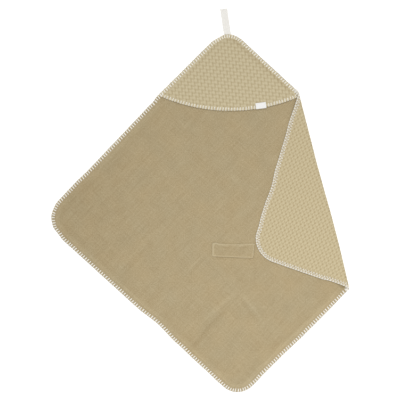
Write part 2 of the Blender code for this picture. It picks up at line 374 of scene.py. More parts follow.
def innerOffset(inset, phase):
    # its inner face, which meets the outer one at the edge
    return wall * wallShare(inset, phase) * edge["thin"] * (1 - roundedIn(inset))


outline = roundedOutline(list(cut["corners"].values()))
outline = dented(evenRing(outline, edge["pitch"] / edge["perStitch"], edge["perStitch"]))
cutEdge = Edge(outline, np.arange(len(outline)) % edge["perStitch"])
cutSize = (abs(corner["hood"] - corner["side"]), abs(corner["side"] - corner["foot"]))


# Meshes

def makePiece(name, places, faces, flat, material, paintedShading=None):
    mesh = bpy.data.meshes.new(name)
    mesh.from_pydata(places.tolist(), [], faces)
    mesh.materials.append(material)
    mesh.shade_smooth()
    corners = np.empty(len(mesh.loops), np.int32)
    mesh.loops.foreach_get("vertex_index", corners)
    spread = np.stack([flat.real, flat.imag], axis=-1)[corners]
    mesh.uv_layers.new(name="cloth").data.foreach_set("uv", spread.astype(np.float32).ravel())
    # painted light and shade, one value a point, that the cloth's colour takes in
    if paintedShading is not None:
        values = mesh.attributes.new("paintedShading", "FLOAT", "POINT").data
        values.foreach_set("value", paintedShading.astype(np.float32))
    return showPiece(name, mesh)


def showPiece(name, mesh):
    piece = bpy.data.objects.new(name, mesh)
    scene.collection.objects.link(piece)
    print("%s: %d triangles" % (name, len(mesh.loops) - 2 * len(mesh.polygons)))
    return piece


def closedCloth(name, upper, upperOut, under, underOut, material, paintedShading=None, weave=None):
    # an upper and an under face that share their edge, as one closed wall; each has its outward
    # distance as in laidOut
    rim, count = upper.rim, len(upper.flat)
    places = np.concatenate([laidOut(upper.scalloped(), upperOut),
                             laidOut(under.scalloped(), underOut)[rim:]])
    places[:, 2] = np.maximum(places[:, 2], 0)  # flat where it lies on the floor
    lower = under.triangles[:, ::-1]
    faces = np.concatenate([upper.triangles, np.where(lower < rim, lower, lower + count - rim)])
    flat = np.concatenate([upper.flat, under.flat[rim:]])
    # the painted light and shade is on the upper face only
    if paintedShading is not None:
        paintedShading = np.concatenate([paintedShading, np.zeros(len(flat) - count)])
    return makePiece(name, places, faces.tolist(), repeats(flat, weave) if weave else flat,
                     material, paintedShading)


# Materials

class Wire:
    # a node's output; each operator adds its own Math node
    def __init__(self, graph, socket):
        self.graph = graph
        self.socket = socket

    def maths(self, operation, *values):
        return self.graph.node("ShaderNodeMath", dict(enumerate(values)), operation=operation)

    def __add__(self, other):
        return self.maths("ADD", self, other)

    __radd__ = __add__

    def __mul__(self, other):
        return self.maths("MULTIPLY", self, other)

    __rmul__ = __mul__

    def __sub__(self, other):
        return self.maths("SUBTRACT", self, other)

    def __rsub__(self, other):
        return self.maths("SUBTRACT", other, self)


class Graph:
    # the node tree of a material or of Geometry Nodes
    def __init__(self, tree):
        self.tree = tree

    def feed(self, socket, value):
        if isinstance(value, Wire):
            self.tree.links.new(value.socket, socket)
        else:
            socket.default_value = value

    def node(self, kind, inputs=None, output=0, **settings):
        made = self.tree.nodes.new(kind)
        for name, value in settings.items():
            setattr(made, name, value)
        for name, value in (inputs or {}).items():
            self.feed(made.inputs[name], value)
        return Wire(self, made.outputs[output])


class Finish(Graph):
    # a material: constants stand on the shader's sockets, and what varies is wired to them
    def __init__(self, name, **constants):
        self.material = bpy.data.materials.new(name)
        self.material.use_nodes = True
        super().__init__(self.material.node_tree)
        self.shader = self.tree.nodes["Principled BSDF"]
        for socket, value in constants.items():
            self.feed(self.shader.inputs[socket.replace("_", " ")], value)

    def cloth(self):
        return self.node("ShaderNodeUVMap", uv_map="cloth")

    def space(self):
        return self.node("ShaderNodeTexCoord", output="Object")

    # the painted light and shade that a piece carries, 0 where it has none
    def paintedShading(self):
        return self.node("ShaderNodeAttribute", output="Fac", attribute_name="paintedShading")

    def along(self, vector, x, y, z=0.0):
        return self.node("ShaderNodeVectorMath", {0: vector, 1: (x, y, z)}, 1, operation="DOT_PRODUCT")

    def wave(self, vector, turns, degrees=0.0):
        # the cosine of so many turns a unit of the vector
        angle = self.along(vector, *(2 * math.pi * turn for turn in turns))
        return angle.maths("COSINE", angle + math.radians(degrees))

    def noise(self, vector, size, detail=2):
        inputs = {"Vector": vector, "Scale": 1 / size, "Detail": detail}
        return self.node("ShaderNodeTexNoise", inputs)

    def shaded(self, tone, colour, darkest, lightest):
        # the colour times darkest at a tone of 0, and times lightest at 1
        ends = [(*(np.array(colour) * share), 1.0) for share in (darkest, lightest)]
        return self.node("ShaderNodeMix", {0: tone, 6: ends[0], 7: ends[1]}, 2, data_type="RGBA")

    def mottledAndShaded(self, tone, colour):
        # random patches and painted light and shade, within mottleAndShade
        return self.shaded(tone, colour, 1 - mottleAndShade, 1 + mottleAndShade)

    def surface(self, colour, height, distance):
        inputs = {"Height": height, "Distance": distance, "Strength": 1.0}
        bump = self.node("ShaderNodeBump", inputs)
        self.feed(self.shader.inputs["Base Color"], colour)
        self.feed(self.shader.inputs["Normal"], bump)
        return self.material


# How much lighter or darker than its colour a cloth may get, by random patches and by painted
# light and shade, in red, green and blue: where it is darker it is warmer too
mottleAndShade = np.array((0.21, 0.26, 0.34))
waffle = {
    "relief": 0.00036,  # height of the largest puffs
    # how strongly the relief paints shade into the pits and light onto the puffs
    "reliefShading": 0.47,
    "tallest": 3.0,  # sum of the waves' shares at the top of a large puff
    "threads": (14, 12),  # in a wide and in a close repeat
    "fuzz": 0.0012,
    "patch": 0.0035,
    "uneven": 0.30,
    "heights": (0.6, 0.08, 0.25),  # shares of the puffs, the threads and the fuzz in its bump
    "bump": 0.0004,
}
# Each waffle cloth's colour, its two repeats and which way they run over its cut; then the waves
# that make up its puffs: turns a wide repeat, turns a close repeat, share and phase in degrees.
hoodWeave = {
    "cream": (0.550, 0.464, 0.289),
    "wide": 0.01590 * np.exp(1j * math.radians(-43.0)),
    "close": 0.01320 * np.exp(1j * math.radians(-135.8)),
    "waves": ((1, 1, 0.87, -60), (1, -1, 1.00, -115), (1, 0, 0.65, 0), (0, 1, 0.40, 0),
              (0, 2, 0.16, 26), (2, 1, 0.17, 62), (1, 2, 0.18, 143), (2, -1, 0.22, 50),
              (1, -2, 0.32, 90), (2, -2, 0.18, -130)),
}
outerWeave = {
    "cream": (0.536, 0.445, 0.268),
    "wide": 0.01560 * np.exp(1j * math.radians(-43.1)),
    "close": 0.01265 * np.exp(1j * math.radians(-131.2)),
    "waves": ((1, 1, 0.97, 72), (1, -1, 0.91, 126), (1, 0, 0.15, 0), (0, 1, 0.52, 0),
              (2, 0, 0.35, 54), (0, 2, 0.24, -10), (1, 2, 0.56, -93), (2, 1, 0.07, 120),
              (1, -2, 0.34, -62), (2, -1, 0.13, -30), (2, 2, 0.27, -99)),
}


def repeats(flat, weave):
    # how many wide and close repeats of the weave a place is from the origin
    wide, close = weave["wide"], weave["close"]
    return dot(flat, wide) / abs(wide) ** 2 + 1j * dot(flat, close) / abs(close) ** 2


def puffs(flat, weave):
    # the height of the waffle's relief
    turns = repeats(flat, weave) * 2 * math.pi
    waves = sum(share * np.cos(wide * turns.real + close * turns.imag + math.radians(phase))
                for wide, close, share, phase in weave["waves"])
    return waffle["relief"] * waves / waffle["tallest"]


def waffleFinish(name, weave):
    finish = Finish(name, Roughness=0.92, Sheen_Weight=0.15, Sheen_Roughness=0.6)
    cloth, space = finish.cloth(), finish.space()
    relief = 0
    for wide, close, share, phase in weave["waves"]:
        relief = finish.wave(cloth, (wide, close), phase) * share + relief
    relief = relief * (1 / waffle["tallest"])
    uneven = finish.noise(space, waffle["patch"]) - 0.5
    # the colour follows the relief: painted shade in the pits and painted light on the puffs, plus
    # random patches and the piece's painted light and shade
    tone = relief * waffle["reliefShading"] + uneven * waffle["uneven"] + finish.paintedShading() + 0.5
    wideThreads, closeThreads = waffle["threads"]
    threads = finish.wave(cloth, (wideThreads, 0)) * finish.wave(cloth, (0, closeThreads))
    ofPuffs, ofThreads, ofFuzz = waffle["heights"]
    height = relief * ofPuffs + threads * ofThreads + finish.noise(space, waffle["fuzz"]) * ofFuzz
    return finish.surface(finish.mottledAndShaded(tone, weave["cream"]), height, waffle["bump"])


def terryFinish():
    look = {
        "sand": (0.4250, 0.3385, 0.1955),
        "warm": (1.040, 1.0, 0.950),
        "cool": (0.965, 1.0, 1.045),
        "tintSize": 0.070,
        "patch": 0.045,
        "pile": 0.0034,
        "loops": 0.0009,
        "streaks": (0.055, 0.0026),  # length and width
        "ribs": (0.120, 0.0085),
        "tones": (0.24, 1.15, 0.56, 0.26),  # shares of the patches, the pile, streaks and ribs
        "heights": (0.8, 0.5),  # shares of the pile and the streaks
        "bump": 0.0005,
    }
    # the ground weave follows the cut
    over = unit(corner["hood"] - corner["side"])
    down = unit(corner["foot"] - corner["side"])
    finish = Finish("terry", Roughness=1.0, Sheen_Weight=0.35, Sheen_Roughness=0.45,
                    Sheen_Tint=(1.0, 0.93, 0.80, 1.0))
    cloth = finish.cloth()

    def stretched(grain, length, width):
        # noise drawn out along the grain
        along = finish.along(cloth, grain.real / length, grain.imag / length)
        across = finish.along(cloth, -grain.imag / width, grain.real / width)
        return finish.noise(finish.node("ShaderNodeCombineXYZ", {0: along, 1: across}), 1) - 0.5

    patches = finish.noise(cloth, look["patch"]) - 0.5
    pile = finish.noise(cloth, look["pile"], 1) - 0.5
    streaks = stretched(over, *look["streaks"]) + stretched(down, *look["streaks"])
    ribs = stretched(over, *look["ribs"])
    grains = zip((patches, pile, streaks, ribs), look["tones"])
    # random grains of the terry, plus the painted light and shade the piece carries
    tone = sum(grain * share for grain, share in grains) + finish.paintedShading() + 0.5
    colour = finish.mottledAndShaded(tone, look["sand"])
    tint = finish.noise(cloth, look["tintSize"], 1)
    tint = finish.shaded(tint, (1, 1, 1), look["cool"], look["warm"])
    colour = finish.node("ShaderNodeVectorMath", {0: colour, 1: tint}, operation="MULTIPLY")
    ofPile, ofStreaks = look["heights"]
    height = finish.noise(cloth, look["loops"]) + pile * ofPile + streaks * ofStreaks
    return finish.surface(colour, height, look["bump"])


def plainFinish(name, look, **constants):
    # yarn, tape or ribbon, with fine ribs
    finish = Finish(name, **constants)
    place = finish.space() if look["inSpace"] else finish.cloth()
    uneven = finish.noise(place, look["patch"])
    ribs = finish.wave(place, [step / look["pitch"] for step in look["ribs"]])
    colour = finish.shaded(uneven, look["colour"], *look["shades"])
    return finish.surface(colour, ribs * look["ribShare"] + uneven, look["relief"])


yarn = plainFinish("stitching", {
    "colour": (0.96, 0.925, 0.835), "shades": (0.90, 1.08), "patch": 0.003, "inSpace": True,
    "ribs": (1, 1, 1), "pitch": 0.0016, "ribShare": 0.5, "relief": 0.0002,
}, Roughness=0.8, Sheen_Weight=0.2)
twill = plainFinish("tape", {
    "colour": (0.985, 0.96, 0.905), "shades": (0.96, 1.02), "patch": 0.003, "inSpace": False,
    "ribs": (1, 1, 0), "pitch": 0.0014, "ribShare": 1.0, "relief": 0.0001,
}, Roughness=0.75, Sheen_Weight=0.1)
satin = plainFinish("label", {
    "colour": (0.93, 0.92, 0.895), "shades": (0.97, 1.01), "patch": 0.006, "inSpace": False,
    "ribs": (1, 0, 0), "pitch": 0.0007, "ribShare": 0.4, "relief": 0.0001,
}, Roughness=0.45, Sheen_Weight=0.1)
terry = terryFinish()
print("materials made")


# The outer cloth lies face down, and its folded corner shows its waffle face

outerCloth = {
    "grids": (0.0072, 0.0021, 0.0021),  # spacing of its points on the floor, the roll and the corner
    "hiddenGrids": (0.0085, 0.0085, 0.0085),  # of both cloths' faces that meet at the seam
    "puffsPast": (0, 0.008),  # where its puffs start past the fold, and over what length
    "puffsIn": (0.004, 0.012),  # and in from the edge
}
hiddenPlan = Plan(cutEdge, edge["hiddenRows"], foldedGrids(*outerCloth["hiddenGrids"]))
hiddenOut = seam + innerOffset(hiddenPlan.inset, hiddenPlan.phase)


def makeOuterCloth():
    face = Plan(cutEdge, edge["rows"], foldedGrids(*outerCloth["grids"]))
    shown = (rise(pastOf(face.flat), *outerCloth["puffsPast"])
             * rise(face.inset, *outerCloth["puffsIn"]))
    outward = seam + faceOffset(face.inset, face.phase) + puffs(face.flat, outerWeave) * shown
    return closedCloth("outer_cloth", hiddenPlan, hiddenOut, face, outward,
                       waffleFinish("waffle_outer", outerWeave), weave=outerWeave)


# The hanging loop and how the cloths go up over its ends

loop = {
    "place": 0.0822 + 0.4925j,  # where it leaves the hood's corner
    "turn": math.radians(8.4),
    "width": 0.0213,
    "length": 0.0795,
    "tail": 0.015,
    "whole": 0.191,  # of the tape, laid open
    "dropStart": 0.003,
    "dropEnd": 0.022,
    "wall": 0.0010,
    "fill": 0.92,  # share of that wall which the tape fills
    "straight": 0.003,  # between its runs and the end of the loop
    "bow": 0.0009,  # of the upper run, off the lower one
    "liftMargin": 0.002,
    "liftFall": 0.018,
}
tapePitch = loop["wall"] + cut["seamGap"]


def loopLift(flat):
    place = (flat - loop["place"]) / (1j * np.exp(1j * loop["turn"]))
    beside = np.maximum(np.abs(place.imag) - loop["width"] / 2 - loop["liftMargin"], 0)
    below = np.maximum(-place.real - loop["tail"] - loop["liftMargin"], 0)
    return 2 * tapePitch * (1 - ease(np.hypot(beside, below) / loop["liftFall"]))


# The closing band's outline

band = {
    "corners": (0.1636 - 0.1299j, 0.0361 - 0.1287j, 0.0358 - 0.1697j, 0.1591 - 0.1748j),
    "radius": 0.0042,
    "edgeStep": 0.002,
    "dip": 0.0030,  # of its upper edge
    "curlAt": 0.0472 - 0.1285j,  # near its upper left corner, where it stands out and up
    "curlOut": (0.0022, 0, 0.0065),
    "curlUp": (0.0014, 0, 0.008),
    "curlLight": (1, -0.003, 0.0085),
    "size": (0.0430, 0.1250),
    "grid": 0.0016,
    "rows": ((0.0004, 1), (0.0012, 1), (0.0024, 1), (0.0038, 1), (0.0052, 1)),
    "hiddenRows": ((0.0012, 1),),
    "hiddenGrid": 0.004,
    "wall": 0.0017,
    "under": 0.0004,
    "waves": 0.0003,
    "waveSize": 0.030,
    "waveIn": 0.006,
    "rim": (0.0004, 0.0026, 0.0014),  # height, distance in from the edge and half width
    "groove": (-0.0004, 0.0058, 0.0014),
    "deepest": -0.0004,
    "creases": (
        (0.0580 - 0.1338j, 0.0860 - 0.1388j, 0.0019, 0.0008, -0.001),
        (0.1060 - 0.1400j, 0.1330 - 0.1362j, 0.0019, 0.0008, -0.001),
        (0.0600 - 0.1405j, 0.0920 - 0.1430j, 0.0030, -0.0006, -0.001),
        (0.1170 - 0.1425j, 0.1450 - 0.1415j, 0.0030, -0.0006, -0.001),
        (0.1058 - 0.1380j, 0.1058 - 0.1550j, 0.0016, 0.0004, 0.0),
    ),
    "creasePaintedShading": 330.0,  # painted light and shade for each metre of a crease's height
    "rimPaintedLight": (0.46, 0.0018, 0.0024),
    "leftLight": (-0.014, 0.008),  # along the left end and round the curl the rim's painted highlight is stronger
    "lighter": 1.3,
    "wider": 0.0008,
}


def bandEdge():
    line = roundedOutline([(place, band["radius"]) for place in band["corners"]])
    line = evenRing(line, band["edgeStep"], 4)
    right, left, lower = band["corners"][:3]
    across = np.clip((line.real - left.real) / (right.real - left.real), 0, 1)
    upper = ease((line.imag - lower.imag) / (left.imag - lower.imag))
    dip = band["dip"] * (1 - (2 * across - 1) ** 2) * upper
    curl = patch(band["curlOut"], line - band["curlAt"])
    return Edge(line + 1j * (curl - dip), np.ones(len(line)))


bandOutline = bandEdge()


# The terry lining, with the creases of the photo and a slight swell

lining = {
    "grids": (0.0036, 0.0036, 0.0075),
    "swell": 0.0005,
    "swellSize": 0.085,
    "reliefIn": (0.010, 0.015),
    # from where, and over what length, it is open: in from the folded corner's edge, off the roll,
    # off the hem and off the band
    "open": ((-0.030, 0.022), (0, 0.030), (0.004, 0.020), (0.002, 0.012)),
    "creases": (  # start, end, half width, height and bow, as in the fold's list
        (-0.243 - 0.229j, -0.142 - 0.131j, 0.0075, -0.0009, 0.002),
        (-0.252 - 0.222j, -0.150 - 0.124j, 0.0080, 0.0007, 0.002),
        (-0.040 - 0.465j, 0.092 - 0.308j, 0.0070, -0.0018, 0.001),
        (-0.004 - 0.372j, 0.092 - 0.288j, 0.0038, 0.0010, 0.001),
        (-0.055 - 0.229j, 0.008 - 0.166j, 0.0040, 0.0012, -0.001),
        (-0.050 - 0.238j, 0.014 - 0.175j, 0.0050, -0.0007, -0.001),
        (0.040 - 0.343j, 0.090 - 0.286j, 0.0038, 0.0012, 0.001),
        (0.124 - 0.282j, 0.181 - 0.350j, 0.0034, 0.0016, -0.001),
        (0.112 - 0.280j, 0.187 - 0.390j, 0.0036, -0.0010, -0.001),
        (0.005 - 0.177j, 0.066 - 0.231j, 0.0045, -0.0008, 0.001),
        (0.163 - 0.170j, 0.164 - 0.274j, 0.0040, -0.0008, 0.000),
        (-0.420 - 0.010j, -0.330 + 0.062j, 0.0160, -0.0008, -0.006),
        (-0.300 + 0.050j, -0.200 + 0.160j, 0.0180, -0.0005, -0.005),
        (0.020 - 0.520j, 0.130 - 0.545j, 0.0090, 0.0008, 0.006),
        (-0.100 + 0.230j, 0.030 + 0.205j, 0.0120, 0.0005, -0.004),
        (0.060 + 0.080j, 0.170 + 0.020j, 0.0100, 0.0004, 0.003),
    ),
    "creasePaintedShading": 110.0,  # painted light and shade for each metre of a crease's height
    "creaseShadingWidth": 1.1,  # as a share of the crease's
    # how much painted light or shade there is, how far in from the edge, and how wide that is
    "rimPaintedLight": (0.145, 0.0180, 0.0062),
    "rimLightFacing": 0.08,  # painted light added where the edge faces this way, down to the right
    "rimLightToward": -0.78,
    "edgePaintedLight": (0.20, 0.0, 0.0055),
    "innerPaintedShade": (-0.05, 0.034, 0.009),
    "bandPaintedShade": (-0.10, -0.0020, 0.0026),  # painted shade round the closing band
    "rollPaintedLight": (0.8, 0.006, 0.008),  # painted light at the ends of the fold's roll
    "rollLightReach": 0.014,
    "leftPaintedShade": (-0.10, -0.36 - 0.03j, 0.15),
}


def liningOffset(flat, inset, phase):
    # of the terry face, from the seam between the cloths
    return seam + faceOffset(inset, phase) + loopLift(flat)


def facing(inward, angle):
    # 1 where an edge faces in this direction, and 0 where it faces sideways or away
    return np.clip(dot(-inward, np.exp(1j * angle)), 0, 1)


def swell(place, size):
    # a slow, uneven rise and fall between -1 and 1
    waves = 0
    for i, turn in enumerate((0.3, 1.4, 2.3, 2.9)):
        length = size * (1 + 0.37 * i)
        waves = waves + np.cos(dot(place, np.exp(1j * turn)) * 2 * math.pi / length + 1.7 * i)
    return waves / 4


def openShare(flat):
    # 1 on the open part of the lining, and 0 below the folded corner, the hood and the band
    past = pastOf(flat)
    mirrored = foldTop + downFold * downOf(flat) + acrossFold * (rollArc - past)
    below, offRoll, offHem, offBand = lining["open"]
    return ((1 - rise(cutEdge.insetOf(mirrored), *below)) * rise(-past, *offRoll)
            * rise(-insideHem(flat), *offHem) * rise(-bandOutline.insetOf(flat), *offBand))


def liningPaintedShading(face):
    # painted light along the edge, most where it faces down to the right, and painted shade further in;
    # painted light and shade in the creases, painted shade round the closing band and towards the
    # left corner, and painted light at the ends of the fold's roll
    height, *where = lining["rimPaintedLight"]
    height = height + lining["rimLightFacing"] * facing(face.inward, lining["rimLightToward"])
    paintedShading = patch((height, *where), face.inset)
    paintedShading = paintedShading + patch(lining["edgePaintedLight"], face.inset) + patch(lining["innerPaintedShade"], face.inset)
    folds = creaseRelief(face.flat, lining["creases"], lining["creaseShadingWidth"])
    paintedShading = paintedShading + folds * lining["creasePaintedShading"] + patch(lining["leftPaintedShade"], face.flat)
    rollEnds = patch(lining["rollPaintedLight"], pastOf(face.flat)) * bell(face.inset, lining["rollLightReach"])
    beside = patch(lining["bandPaintedShade"], bandOutline.insetOf(face.flat))
    return paintedShading * openShare(face.flat) + rollEnds + beside


def makeLining():
    face = Plan(cutEdge, edge["rows"], foldedGrids(*lining["grids"]))
    relief = lining["swell"] * swell(face.flat, lining["swellSize"])
    relief = relief + creaseRelief(face.flat, lining["creases"])
    relief = relief * openShare(face.flat) * rise(face.inset, *lining["reliefIn"])
    offset = liningOffset(face.flat, face.inset, face.phase) + relief
    return closedCloth("terry_lining", face, -offset, hiddenPlan,
                       -(hiddenOut + loopLift(hiddenPlan.flat)), terry, paintedShading=liningPaintedShading(face))


# The hood: a waffle panel over the top corner, with a curved hem

hood = {
    "hemCentre": 0.0882 + 0.7895j,
    "hemRadius": 0.5251,
    "hemPitch": 0.0086,
    "pastFold": 0.0005,
    "rise": 0.0016,
    "riseWidth": 0.060,
    "overLoop": 0.15,
    "grid": 0.0020,
    "hiddenGrid": 0.0070,
    "puffsIn": (0.003, 0.012),
    "hemWaves": ((0.0006, 34, 0.6), (0.00036, 61, 0)),  # height, turn for turn, and start
    "waveReach": 0.050,
    "waveEnd": 0.4,  # radians from the hem's lowest point
    "rimPaintedLight": (0.17, 0.005, 0.004),
    "dipPaintedShade": (-0.22, 0.0155, 0.0045),  # painted shade beside the stitches of its right edge
    "dipAbove": (0.020, 0.020),  # from where above the hem, and over what length
    "dipToward": 0.74,
}


def insideHem(flat):
    return hood["hemRadius"] - np.abs(flat - hood["hemCentre"])


def hoodEdge():
    # along the cut from the fold to the hem's left end, along the hem, and up beside the fold
    perStitch, centre, radius = edge["perStitch"], hood["hemCentre"], hood["hemRadius"]
    kept = underHood(cutEdge.line)
    first = np.flatnonzero(kept & ~np.roll(kept, 1))[0]
    stations = (first + np.arange(kept.sum())) % len(cutEdge.line)
    seamLine = cutEdge.line[stations]
    start = seamLine[-1] - centre
    reach = foldTop + acrossFold * hood["pastFold"] - centre
    half = dot(reach, downFold)
    # the hem's other end is where the fold's line crosses its circle
    end = reach + downFold * (math.sqrt(half ** 2 + radius ** 2 - abs(reach) ** 2) - half)
    angles = np.linspace(0, np.angle(end / start), 400)
    hem = np.linspace(abs(start), abs(end), 400) * unit(start) * np.exp(1j * angles)
    hem = evenly(centre + hem, hood["hemPitch"] / perStitch)
    side = evenly(np.array([hem[-1], seamLine[0]]), edge["pitch"] / perStitch)
    line = np.concatenate([seamLine, hem[1:-1], side[:-1]])
    phase = np.concatenate([cutEdge.phase[stations], np.arange(1, len(hem) - 1) % perStitch,
                            np.ones(len(side) - 1)])
    return Edge(line, phase), len(seamLine), len(hem)


def underHood(flat):
    return (pastOf(flat) < hood["pastFold"]) & (insideHem(flat) > 0)


hoodOutline, hemFirst, hemCount = hoodEdge()


def hoodRise(flat):
    left = 1j * unit(corner["hemEnd"] - corner["hood"])
    right = -1j * unit(foldTop - corner["hood"])
    nearest = np.minimum(dot(flat - corner["hood"], left), dot(flat - corner["hood"], right))
    return hood["rise"] * ease(nearest / hood["riseWidth"])


def hemWave(flat):
    # the hem goes gently up and down, least at its two ends
    angle = np.angle((flat - hood["hemCentre"]) / -1j)
    near = ease(1 - insideHem(flat) / hood["waveReach"]) * ease(hood["waveEnd"] - np.abs(angle))
    return near * sum(height * np.sin(angle * turn + start) for height, turn, start in hood["hemWaves"])


def hoodBase(flat):
    inset, station = cutEdge.nearest(flat)
    lift = np.maximum(hoodRise(flat) + hemWave(flat), 0) + hood["overLoop"] * loopLift(flat)
    return liningOffset(flat, inset, cutEdge.phase[station]) + cut["seamGap"] + lift


def hoodPaintedShading(face):
    # painted light along its edge, and painted shade where the cloth dips beside the stitches of its
    # right edge
    dip = facing(face.inward, hood["dipToward"]) ** 4 * rise(insideHem(face.flat), *hood["dipAbove"])
    return patch(hood["rimPaintedLight"], face.inset) + dip * patch(hood["dipPaintedShade"], face.inset)


def makeHood():
    face = Plan(hoodOutline, edge["rows"], evenGrid(hood["grid"]))
    hidden = Plan(hoodOutline, edge["hiddenRows"], evenGrid(hood["hiddenGrid"]))
    relief = puffs(face.flat, hoodWeave) * rise(face.inset, *hood["puffsIn"])
    offset = hoodBase(face.flat) + faceOffset(face.inset, face.phase) + relief
    hiddenOffset = hoodBase(hidden.flat) + innerOffset(hidden.inset, hidden.phase)
    return closedCloth("waffle_hood", face, -offset, hidden, -hiddenOffset,
                       waffleFinish("waffle_hood", hoodWeave), hoodPaintedShading(face), hoodWeave)


# The closing band: a narrow strip of terry with a turned edge all round

def makeBand():
    face = Plan(bandOutline, band["rows"], evenGrid(band["grid"]))
    hidden = Plan(bandOutline, band["hiddenRows"], evenGrid(band["hiddenGrid"]))
    base, hiddenBase = [liningOffset(plan.flat, 1, 1) + cut["seamGap"] for plan in (face, hidden)]
    fromCurl = face.flat - band["curlAt"]
    creases = creaseRelief(face.flat, band["creases"])
    waves = band["waves"] * (swell(face.flat, band["waveSize"]) + 1) * ease(face.inset / band["waveIn"])
    offset = (base + band["wall"] * roundedWall(face.inset) + waves
              + patch(band["rim"], face.inset) + patch(band["groove"], face.inset)
              + patch(band["curlUp"], fromCurl) * roundedIn(face.inset)
              + np.maximum(creases, band["deepest"]))
    hiddenOffset = hiddenBase + band["under"] * (1 - roundedIn(hidden.inset))
    # painted highlight on the rim, most along the left end and round the curled corner, and painted
    # light and shade along the creases
    left = rise(bandOutline.line.real.min() - face.flat.real, *band["leftLight"])
    bright = np.maximum(left, patch(band["curlLight"], fromCurl))
    height, middle, width = band["rimPaintedLight"]
    rim = (height * (1 + band["lighter"] * bright), middle, width + band["wider"] * bright)
    return closedCloth("terry_band", face, -offset, hidden, -hiddenOffset, terry,
                       patch(rim, face.inset) + creases * band["creasePaintedShading"])


outerPiece = makeOuterCloth()
liningPiece = makeLining()
hoodPiece = makeHood()
bandPiece = makeBand()


# The blanket stitches

stitch = {
    "radius": 0.00101,
    "backRadius": 0.00080,
    "hemRadius": 0.00077,
    "sides": 6,
    "unevenness": 0.12,
    "seed": 7,
    "reach": 0.0098,  # how far in from the edge a bar goes
    "insets": (0.0102, 0.0090, 0.0058, 0.0020),  # of the points of a bar on the face
    "heights": (-0.0011, 0, 0.0001, 0),  # and how much higher those points are
    "tuckInset": 0.0016,  # where a bar goes into the back
    "tuckOut": 0.0002,
    "pastEdge": -0.00035,  # inset of the yarn where it goes round the edge
    "hemPastEdge": -0.0001,
    "hemEdgeOut": 0.0006,
    "hemTuckIn": 0.0001,
    "apart": 0.00252,  # the two strands of a bar, at the edge
    "closer": 0.001365,  # and how much less at their inner ends
    "lean": 0.0009,  # a bar's inner end is this far along
    "jitter": 0.0005,
    "uneven": 0.06,
    "shorter": 0.09,  # inside the edge that faces this way, down to the left
    "shorterToward": 0.85 - math.pi,
    "seated": 0.00025,  # how far the yarn is sunk into the cloth
    "sunk": 0.0005,  # and how much further into the hood
    "proud": (0.0026, 0.001, 0.006),  # height, place and half width of the bars beside the roll
    "under": 0.001616,  # how much further below the folded corner
    "underOver": 0.010,
    "backJitter": 0.05,
    "backUneven": 0.07,
    # share of the pitch, inset and height: a yarn along the edge, and a branch of the V inside it
    "backPaths": (
        ((0.00, 0.0006, 0.0006161), (0.33, 0.0011, 0.0007373), (0.67, 0.0011, 0.0007373),
         (1.00, 0.0006, 0.0006161)),
        ((0.02, 0.0012, 0.0007979), (0.16, 0.0045, 0.0011615), (0.32, 0.0082, 0.0011009),
         (0.44, 0.0112, 0.0000707)),
    ),
    # at the fold's two ends: as foldStrands has them
    "turns": {"foldTop": (2, -13, 0.0070, 0.0040, 4), "foldFoot": (-2, 10, 0.0030, 0.0, 5)},
    "turnInset": 0.0004,
    "turnApart": 0.0020,
    "turnLess": 0.0021,  # how much less far out the next strand goes
    "turnUp": 0.0012,
    "turnPoints": 9,
}


def yarnTree():
    tree = bpy.data.node_groups.new("yarn", "GeometryNodeTree")
    tree.interface.new_socket("Stitches", in_out="OUTPUT", socket_type="NodeSocketGeometry")
    names = {}
    for name, kind in (("Strands", "Geometry"), ("Radius", "Float"), ("Unevenness", "Float"),
                       ("Sides", "Int"), ("Seed", "Int"), ("Yarn", "Material")):
        socket = tree.interface.new_socket(name, in_out="INPUT", socket_type="NodeSocket" + kind)
        names[name] = socket.identifier
    graph = Graph(tree)
    outputs = tree.nodes.new("NodeGroupInput").outputs
    given = {name: Wire(graph, outputs[name]) for name in names}
    # sockets 2 and 3 of this node are its smallest and largest number
    uneven = graph.node("FunctionNodeRandomValue", {
        2: 1.0 - given["Unevenness"], 3: 1.0 + given["Unevenness"], "Seed": given["Seed"],
    }, 1, data_type="FLOAT")
    yarns = graph.node("GeometryNodeCurveToMesh", {
        "Curve": graph.node("GeometryNodeMeshToCurve", {"Mesh": given["Strands"]}),
        "Profile Curve": graph.node("GeometryNodeCurvePrimitiveCircle",
                                    {"Resolution": given["Sides"], "Radius": 1.0}),
        "Scale": given["Radius"] * uneven, "Fill Caps": True,
    })
    for kind, inputs in (("SetShadeSmooth", {}), ("RealizeInstances", {}),
                         ("SetMaterial", {"Material": given["Yarn"]})):
        yarns = graph.node("GeometryNode" + kind, {"Geometry": yarns, **inputs})
    graph.feed(tree.nodes.new("NodeGroupOutput").inputs[0], yarns)
    return tree, names


stitchTree, stitchInputs = yarnTree()


def makeStitches(name, strands, radius):
    # strands are arrays of places, one row a strand
    vertices, edges = [], []
    for group in strands:
        first = sum(len(part) for part in vertices)
        vertices.append(group.reshape(-1, 3))
        index = first + np.arange(len(vertices[-1])).reshape(group.shape[:2])
        edges.append(np.stack([index[:, :-1].ravel(), index[:, 1:].ravel()], axis=-1))
    guide = bpy.data.meshes.new(name)
    guide.from_pydata(np.concatenate(vertices).tolist(), np.concatenate(edges).tolist(), [])
    carrier = bpy.data.objects.new("guide", guide)
    scene.collection.objects.link(carrier)
    modifier = carrier.modifiers.new("yarn", "NODES")
    modifier.node_group = stitchTree
    values = {"Radius": radius, "Unevenness": stitch["unevenness"], "Sides": stitch["sides"],
              "Seed": stitch["seed"], "Yarn": yarn}
    for key, value in values.items():
        modifier[stitchInputs[key]] = value
    evaluated = carrier.evaluated_get(bpy.context.evaluated_depsgraph_get())
    mesh = bpy.data.meshes.new_from_object(evaluated)
    bpy.data.objects.remove(carrier)
    return showPiece(name, mesh)


